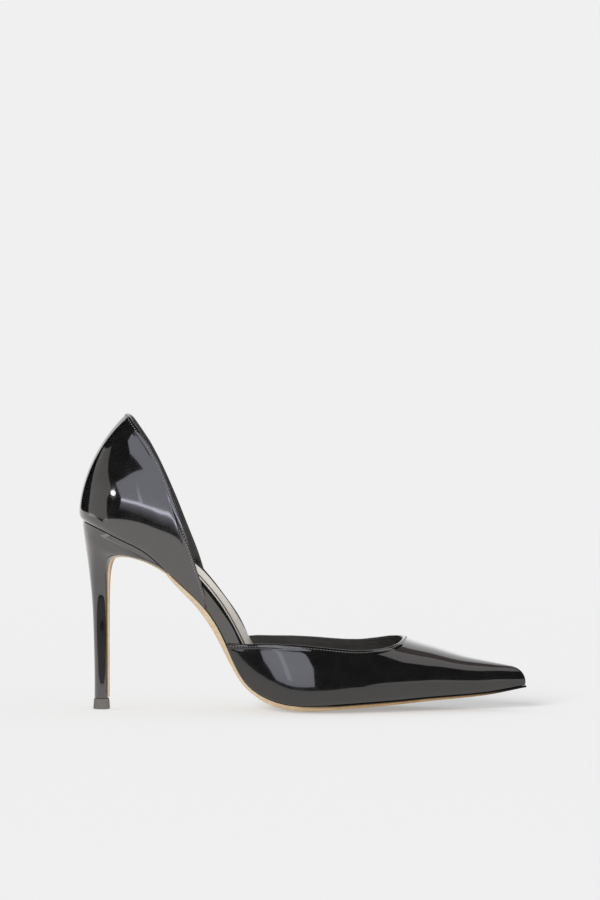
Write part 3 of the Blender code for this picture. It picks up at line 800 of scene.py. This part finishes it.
# The heel, a row for each ring from its foot to its seat: the back and the front of the ring in side view,
# its half width, how square its front is, how much it takes the seat's outline, and the flap on its front.
HEEL = np.array([
    (-109.0, 5.8, -101.5, 5.8, 4.3, 3.0, 0.0, 2.6, 0.35),
    (-109.0, 20.0, -101.5, 20.0, 4.3, 3.0, 0.0, 2.6, 0.35),
    (-109.4, 38.5, -101.5, 38.5, 4.35, 3.0, 0.0, 2.7, 0.35),
    (-110.0, 54.0, -101.5, 53.0, 4.8, 3.0, 0.0, 3.0, 0.35),
    (-111.1, 66.5, -101.4, 64.0, 6.4, 3.2, 0.0, 4.1, 0.4),
    (-112.2, 76.0, -101.1, 71.5, 9.4, 3.5, 0.05, 6.2, 0.5),
    (-113.2, 83.5, -100.1, 76.8, 13.4, 4.0, 0.15, 9.0, 0.6),
    (-113.8, 88.3, -98.2, 79.3, 16.8, 4.6, 0.3, 11.6, 0.5),
    (-114.2, 91.8, -95.2, 80.3, 19.6, 5.5, 0.5, 14.2, 0.4),
    (-114.4, 94.0, -90.6, 80.4, 21.4, 7.0, 0.7, 16.8, 0.3),
    (-114.6, 95.7, -84.6, 79.2, 22.8, 9.0, 0.85, 19.3, 0.3),
    (-114.8, 97.0, -77.4, 76.7, 23.6, 12.0, 0.95, 21.2, 0.4),
    (-114.9, 98.1, -68.6, 71.9, 24.1, 16.0, 1.0, 20.8, 0.8),
])


def sole_leather():
    """Tan sole leather: fibres drawn along it, paler at the waist as painted light from the floor below it,
    browner in front, and black where a mark says: round the toe, and as painted shade along the top beside
    the upper.
    """
    made, tree, shader, place = finish_of("tan sole leather")
    drawn = knot(tree, "ShaderNodeMapping", {"Vector": place, "Scale": (0.12, 1.0, 1.0)})
    fibre = patches(tree, drawn.outputs["Vector"], 1600.0, 4.0)
    cloud = patches(tree, place, 70.0, 5.0)
    both = knot(tree, "ShaderNodeMath", {0: fibre, 1: cloud}, operation="ADD").outputs["Value"]
    half = knot(tree, "ShaderNodeMath", {0: both, 1: 0.5}, operation="MULTIPLY").outputs["Value"]
    # Partly painted light: the waist's paler tan stands for the light it takes from the floor; the front is
    # browner.
    pale = two_tone(tree, half, (0.76, 0.57, 0.36), (0.90, 0.73, 0.52), 0.36, 0.64)
    brown = two_tone(tree, half, (0.40, 0.235, 0.095), (0.55, 0.35, 0.165), 0.36, 0.64)
    length = knot(tree, "ShaderNodeSeparateXYZ", {0: place}).outputs["X"]
    tan = blend(tree, between(tree, length, 0, 1, -0.03, 0.035, "SMOOTHSTEP"), pale, brown)
    blackened = knot(tree, "ShaderNodeAttribute", {}, attribute_name="blackened").outputs["Fac"]
    tan_blackened = blend(tree, blackened, tan, (0.012, 0.011, 0.010, 1))
    grain = relief(tree, half, 0.00006)
    coat(tree, shader, tan_blackened, grain, between(tree, cloud, 0.42, 0.56))
    return made


sole_x = np.concatenate([np.linspace(SOLE_TOE_X, 20, 50), np.linspace(18, SOLE_BACK_X, 86)])
sole_under = np.column_stack([sole_x, feather(sole_x)])
flap_rows = spline(np.linspace(len(HEEL) - 1.1, 0.05, 70), np.arange(len(HEEL)), HEEL)
sole_line = np.vstack([sole_under, flap_rows[:, 2:4]])
sole_ahead = np.gradient(sole_line, axis=0)
sole_down = np.column_stack([-sole_ahead[:, 1], sole_ahead[:, 0]])
sole_down /= np.linalg.norm(sole_down, axis=1, keepdims=True)
sole_seated = np.where(np.arange(len(sole_line)) < len(sole_under), SOLE_GAP, -FLAP_SUNK)
sole_line = sole_line + sole_down * sole_seated[:, None]
sole_across = np.linspace(-1, 1, 13)
sole_rings = []
for k, (x, z) in enumerate(sole_line):
    if k < len(sole_under):
        thick = float(np.interp(x, SOLE_THICK[:, 0], SOLE_THICK[:, 1]))
        edge_x = min(sole_under[k, 0], SOLE_TIP_X) - SOLE_SET_BACK
        sides = [float(OUTER.edge_y(edge_x)), float(INNER.edge_y(edge_x))]
        crown = SOLE_CROWN * math.exp(-(((x - BALL_X) / BALL_LONG) ** 2))
    else:
        flap, thick = flap_rows[k - len(sole_under), 7:9] + (0, FLAP_SUNK)
        sides = [-flap, flap]
        crown = 0.0
    middle = (sides[0] + sides[1]) / 2
    half = (sides[1] - sides[0]) / 2
    bevel = min(SOLE_BEVEL, half * 0.4)
    edge = [(half + out + share * bevel, thick * depth) for out, share, depth in SOLE_EDGE]
    outline = [(s * half, 0.0) for s in sole_across]
    outline += edge
    outline += [(s * (half - bevel), thick + crown * (1 - s * s)) for s in sole_across[::-1]]
    outline += [(-y, d) for y, d in edge[::-1]]
    ring = [(x + sole_down[k, 0] * d, middle + y, max(z + sole_down[k, 1] * d, 0.0)) for y, d in outline]
    sole_rings.append(np.array(ring))
outsole = loft("outsole", sole_rings)
outsole.data.materials.append(sole_leather())
sole_at_x = np.array([v.co.x for v in outsole.data.vertices]) / MM + MIDDLE[0]
# Painted shade: the top of the edge beside the upper is darkened for the shade in the gap under the upper.
gap_shade_line = picked(outsole.data, sole_rings, [0, len(sole_across) - 1, len(sole_across), -1])
gap_shade_line *= np.interp(sole_at_x, GAP_SHADE_X, (0, 1))
mark(outsole.data, "blackened", np.maximum(gap_shade_line, np.interp(sole_at_x, TOE_BLACK_X, (0, 1))))
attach(outsole, "root")
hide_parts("outsole")

# Heel. A moulded stiletto wrapped in the same patent leather, screwed up through the seat, its lip running
# forward under the waist.
HEEL_POINTS = 33
SEAT_HALF = 24.3
SEAT_SQUARE = 40


def heel_ring(row):
    """Points round one ring of the heel, from the middle of its back by one side to its front and back."""
    back_x, back_z, front_x, front_z, half, square, seat = row[:7]
    f = 0.5 - 0.5 * np.cos(np.linspace(0, math.pi, HEEL_POINTS))
    x = back_x + (front_x - back_x) * f
    curve = feather(x)
    bow = curve - curve[0] - (curve[-1] - curve[0]) * f
    z = back_z + (front_z - back_z) * f + bow * seat
    round_back = np.sqrt(np.clip(1 - (2 * f - 1) ** 2, 0, 1))
    square_front = np.clip(1 - np.abs(2 * f - 1) ** square, 0, 1) ** (1 / square)
    wide = np.where(f < 0.5, round_back, square_front)
    sides = []
    for side in (OUTER, INNER):
        outline = np.abs(side.edge_y(x)) * (1 - np.clip(2 * f - 1, 0, 1) ** SEAT_SQUARE)
        sides.append(side.sign * (wide * half * (1 - seat) + outline * half / SEAT_HALF * seat))
    return np.vstack([np.column_stack([x, sides[0], z]), np.column_stack([x, sides[1], z])[::-1][1:-1]])


heel_rows = spline(np.linspace(0, len(HEEL) - 1, 90), np.arange(len(HEEL)), HEEL)
heel = loft("heel", [heel_ring(row) for row in heel_rows])
heel.data.materials.append(patent("black patent heel wrap"))
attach(heel, "root")
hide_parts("heel")

# Top piece. A small moulded block of dark hard rubber, a little wider at the floor, held by a pin that is
# driven up into the foot of the heel.
# From the floor up: height, and how far it stands out past the foot of the heel.
TIP_STEPS = [
    (0.0, 0.1), (0.12, 0.42), (0.5, 0.55), (1.4, 0.5), (3.4, 0.34), (4.6, 0.24), (5.0, 0.2), (5.3, 0.08),
    (5.5, -0.15),
]


def hard_rubber():
    """Dark grey hard rubber: finely speckled and matt."""
    made, tree, shader, place = finish_of("dark hard rubber")
    speck = patches(tree, place, 2200.0, 4.0)
    tint = two_tone(tree, speck, (0.17, 0.158, 0.15), (0.24, 0.225, 0.213))
    coat(tree, shader, tint, relief(tree, speck, 0.00005), 0.55)
    return made


tip_rings = []
for z, spread in TIP_STEPS:
    row = HEEL[0].copy()
    row[[0, 2, 4]] += (-spread, spread, spread)
    ring = heel_ring(row)
    ring[:, 2] = z
    tip_rings.append(ring)
tip = loft("top_piece", tip_rings)
tip.data.materials.append(hard_rubber())
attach(tip, "root")
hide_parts("top_piece")

# Studio. A pale seamless sheet laid as a wide round dish under and behind the shoe, in a room with even light
# and a soft lamp in front. The glossy leather sees only the wall, the lit table, soft boxes and cards.
SHEET_WIDE = 9.0
SHEET_TALL = 4.0
SHEET_CURVE = 1.2
SHEET_SIDES = 96
PAPER_WHITE = 0.872
PAPER_MATT = 0.27
PAPER_GLOW = 0.33
CARD_FAR = 1.5
CARD_STEPS = 13
WALL_Y = 3.0
TABLE_GLOW = 0.88
TABLE_FRONT = -0.26
LAMP_TURN = -12.0
LAMP_RISE = 18.0


def studio_paper():
    """Matt pale paper: lit by the room round the shoe, and by lamps of its own farther out."""
    made, tree, shader, place = finish_of("pale studio paper")
    tooth = patches(tree, place, 300.0, 3.0)
    tint = two_tone(tree, tooth, (PAPER_MATT - 0.001,) * 3, (PAPER_MATT + 0.001,) * 3)
    away = knot(tree, "ShaderNodeVectorMath", {0: place}, operation="LENGTH").outputs["Value"]
    far = between(tree, away, 0, 1, 0.4, 1.6, "SMOOTHSTEP")
    lamps = between(tree, far, PAPER_GLOW, PAPER_WHITE, 0, 1)
    fill(tree, shader, {"Base Color": blend(tree, far, tint, (0.0, 0.0, 0.0, 1)), "Roughness": 1.0})
    fill(tree, shader, {"Emission Color": (1, 1, 1, 1), "Emission Strength": lamps})
    fill(tree, shader, {"Specular IOR Level": 0.0})
    return made


bend = [(0.3, 0.0), (2.0, 0.0)]
for turn in np.linspace(0, math.pi / 2, 17):
    bend.append((SHEET_WIDE - SHEET_CURVE * (1 - math.sin(turn)), SHEET_CURVE * (1 - math.cos(turn))))
bend.append((SHEET_WIDE, SHEET_TALL))
round_about = [(math.cos(a), math.sin(a)) for a in np.linspace(0, math.tau, SHEET_SIDES + 1)[:-1]]
dish_faces = [tuple(range(SHEET_SIDES))]
for k in range(len(bend) - 1):
    inner = SHEET_SIDES * k
    outer = inner + SHEET_SIDES
    for j in range(SHEET_SIDES):
        n = (j + 1) % SHEET_SIDES
        dish_faces.append((inner + j, outer + j, outer + n, inner + n))
paper = bpy.data.meshes.new("studio_sheet")
paper.from_pydata([(x * r, y * r, z) for r, z in bend for x, y in round_about], [], dish_faces)
paper.shade_smooth()
paper.materials.append(studio_paper())
sheet = hang("studio_sheet", paper)
sheet.visible_glossy = False


def group_of(name, pieces):
    """A group of pieces for a lamp to light, or for its light to be blocked by."""
    group = bpy.data.collections.new(name)
    for piece in pieces:
        group.objects.link(piece)
    return group


def only_for(lamp, pieces):
    """Keeps a lamp or card out of sight, and its light to the pieces named."""
    lamp.visible_camera = False
    lamp.visible_diffuse = False
    lamp.light_linking.receiver_collection = group_of(lamp.name, pieces)


def soft_box(name, middle, way, wide, tall, glow, tint, pieces, shape="RECTANGLE"):
    """A flat lamp that faces against the way, of one brightness all over."""
    lamp = bpy.data.lights.new(name, "AREA")
    lamp.shape = shape
    lamp.size = wide
    lamp.size_y = tall
    lamp.energy = glow * math.pi * wide * tall * (math.pi / 4 if shape == "ELLIPSE" else 1)
    lamp.color = tint
    made = bpy.data.objects.new(name, lamp)
    made.location = middle
    made.rotation_euler = way.to_track_quat("Z", "Y").to_euler()
    bpy.context.scene.collection.objects.link(made)
    only_for(made, pieces)


def gauze_card(name, rows, shares, glow, tint, pieces):
    """A lit gauze card through rows of spots, each spot with its share of the glow."""
    wide = len(rows[0])
    corners = [wide * k + j for k in range(len(rows) - 1) for j in range(wide - 1)]
    faces = [(k, k + 1, k + wide + 1, k + wide) for k in corners]
    mesh = bpy.data.meshes.new(name)
    mesh.from_pydata([spot for row in rows for spot in row], [], faces)
    mark(mesh, "share", np.repeat(shares, wide))
    lit = bpy.data.materials.new(name)
    lit.use_nodes = True
    tree = lit.node_tree
    tree.nodes.remove(tree.nodes["Principled BSDF"])
    share = knot(tree, "ShaderNodeAttribute", {}, attribute_name="share").outputs["Fac"]
    power = knot(tree, "ShaderNodeMath", {0: share, 1: glow}, operation="MULTIPLY").outputs["Value"]
    light = knot(tree, "ShaderNodeEmission", {"Color": (*tint, 1), "Strength": power})
    gauze = knot(tree, "ShaderNodeBsdfTransparent", {})
    both = knot(tree, "ShaderNodeAddShader", {0: light.outputs["Emission"], 1: gauze.outputs["BSDF"]})
    tree.links.new(both.outputs["Shader"], tree.nodes["Material Output"].inputs["Surface"])
    mesh.materials.append(lit)
    made = hang(name, mesh)
    made.visible_shadow = False
    only_for(made, pieces)


def card(name, seen_from, rows, glow, tint, pieces):
    """A lit card. A row is its left and right turn, its rise at left, middle and right, and its share."""
    spots = []
    for left, right, *rises, _ in rows:
        bow = np.polyfit((0, 0.5, 1), rises, 2)
        ways = [(left + (right - left) * f, float(np.polyval(bow, f))) for f in np.linspace(0, 1, CARD_STEPS)]
        spots.append([seen_from + CARD_FAR * facing(turn, rise) for turn, rise in ways])
    gauze_card(name, spots, [row[-1] for row in rows], glow, tint, pieces)


COOL = (0.86, 0.86, 1.0)
WARM = (1.0, 0.975, 0.955)
WHITE = (1.0, 1.0, 1.0)
AT_QUARTER = Vector((-0.075, -0.02, 0.11))
AT_VAMP = Vector((0.0, -0.03, 0.02))
AT_TOE = Vector((0.06, 0.0, 0.03))
AT_HEEL = Vector((-0.1, -0.02, 0.09))
BEHIND = Vector((0, 1, 0))
IN_FRONT = Vector((0, -1, 0))
BELOW = Vector((0, 0, -1))
everything = [vamp, quarter, heel, insole, *strips]
soft_box("lit wall", (0, WALL_Y, 2.4), BEHIND, 4.4, 4.8, PAPER_WHITE, WHITE, everything)
for name, front, glow, pieces in (
    ("table by the vamp", -0.6, 0.45, [vamp]),
    ("table by the quarter", TABLE_FRONT, TABLE_GLOW, [quarter, insole, *strips]),
    ("table by the heel", -0.172, TABLE_GLOW, [heel]),
):
    soft_box(name, (0, (WALL_Y + front) / 2, 0.0004), BELOW, 4.0, WALL_Y - front, glow, WARM, pieces)
arch = [(0.6 * math.sin(a), 0.11 * math.cos(a)) for a in np.linspace(-math.pi / 2, math.pi / 2, 37)]
table_edge = [[(x, TABLE_FRONT, z * up) for x, z in arch] for up in (0, 1)]
gauze_card("table edge", table_edge, (1, 1), TABLE_GLOW, WARM, [quarter, *strips])
soft_box("heel front", (-0.1, -0.06, 0.0892), IN_FRONT, 0.6, 0.0516, TABLE_GLOW, WARM, [heel])
soft_box("heel front low", (-0.1, -0.19, 0.012), IN_FRONT, 0.6, 0.024, 0.17, WARM, [heel])
overhead = facing(74.8, 54.9)
soft_box("overhead box", AT_TOE + 2.2 * overhead, overhead, 1.02, 0.82, 0.6, WARM, [vamp])
spot = facing(-40.8, 13.8)
soft_box("spot lamp", AT_QUARTER + 1.45 * spot, spot, 0.24, 0.075, 9.0, WHITE, [quarter], "ELLIPSE")
RIGHT_CARD = [
    (-35, 45, 50, 50, 50, 1.0),
    (-38, 45, 44, 44, 44, 1.0),
    (-20, 45, 35, 35, 35, 1.0),
    (7, 45, 25, 25, 25, 1.0),
    (-24, 45, 22, 22, 22, 1.0),
    (-38, 45, 19, 19, 19, 1.0),
    (-25, 40, 12, 11, 8, 1.0),
    (-25, 40, 11, 10, 7, 4.6),
    (-25, 40, 10, 9, 6, 0.7),
    (-28, 40, 6, 5, 4, 0.06),
]
LEFT_BAND = [
    (-135, -90, 20, 28, 35, 0.8),
    (-110, -58, 14, 18, 22, 1.0),
    (-102, -44, 9, 12, 15, 1.2),
    (-100, -52, 6, 8, 10, 1.2),
    (-100, -52, -7, -6, -5, 1.2),
]
VAMP_CARD = [
    (-40, -18, 16, 18, 21, 0.9),
    (-50, -10, 9, 13, 16, 1.0),
    (-50, -6, 3, 7, 11, 1.0),
    (-45, -6, 0, 0, 1, 0.9),
]
STREAK_CARD = [
    (-3, 0, 20, 20, 20, 0.0),
    (2, 6, 11, 11, 11, 1.0),
]
VAMP_STREAK_CARD = [
    (-43, -38, 14, 14, 14, 0.4),
    (-34, -29, 2, 2, 2, 0.4),
]
TOE_RIDGE_CARD = [(97.0, 146.0, 66.0, 67.5, 59.0, 1.0), (97.0, 146.0, 56.5, 56.5, 48.0, 1.0)]
TOE_CARD = [(30.0, 90.0, -1.0, 5.5, 6.5, 1.0), (30.0, 90.0, -1.3, -1.3, -1.3, 1.0)]
HEEL_CARD = [(-130.0, -80.5, 9.0, 9.0, 9.0, 1.0), (-130.0, -80.5, -2.5, -2.5, -2.5, 1.0)]
card("right card", AT_QUARTER, RIGHT_CARD, 1.1, COOL, [quarter])
card("right streak", AT_QUARTER, STREAK_CARD, 0.9, COOL, [quarter])
card("left band", AT_QUARTER, LEFT_BAND, 0.45, WARM, [quarter])
card("vamp card", AT_VAMP, VAMP_CARD, 1.15, COOL, [vamp])
card("vamp streak", AT_VAMP, VAMP_STREAK_CARD, 1.15, COOL, [vamp])
card("toe ridge card", AT_TOE, TOE_RIDGE_CARD, 0.2, (1.0, 0.8, 0.78), [vamp])
card("toe card", AT_VAMP, TOE_CARD, 0.5, WARM, [vamp])
card("heel card", AT_HEEL, HEEL_CARD, TABLE_GLOW, WARM, [heel])

front_lamp = bpy.data.lights.new("front lamp", "SUN")
front_lamp.angle = math.radians(20)
lamp_share = (PAPER_WHITE - PAPER_GLOW - PAPER_MATT) / PAPER_MATT
front_lamp.energy = lamp_share * math.pi / math.sin(math.radians(LAMP_RISE))
front = bpy.data.objects.new("front lamp", front_lamp)
front.rotation_euler = facing(LAMP_TURN, LAMP_RISE).to_track_quat("Z", "Y").to_euler()
bpy.context.scene.collection.objects.link(front)
front.light_linking.receiver_collection = group_of("lit by the front lamp", [sheet])
front.light_linking.blocker_collection = group_of("in the way of the front lamp", [vamp])
room = bpy.data.worlds.new("even room light")
room.use_nodes = True
room.node_tree.nodes["Background"].inputs["Color"].default_value = (1, 1, 1, 1)
bpy.context.scene.world = room
room.cycles_visibility.camera = False
room.cycles_visibility.glossy = False
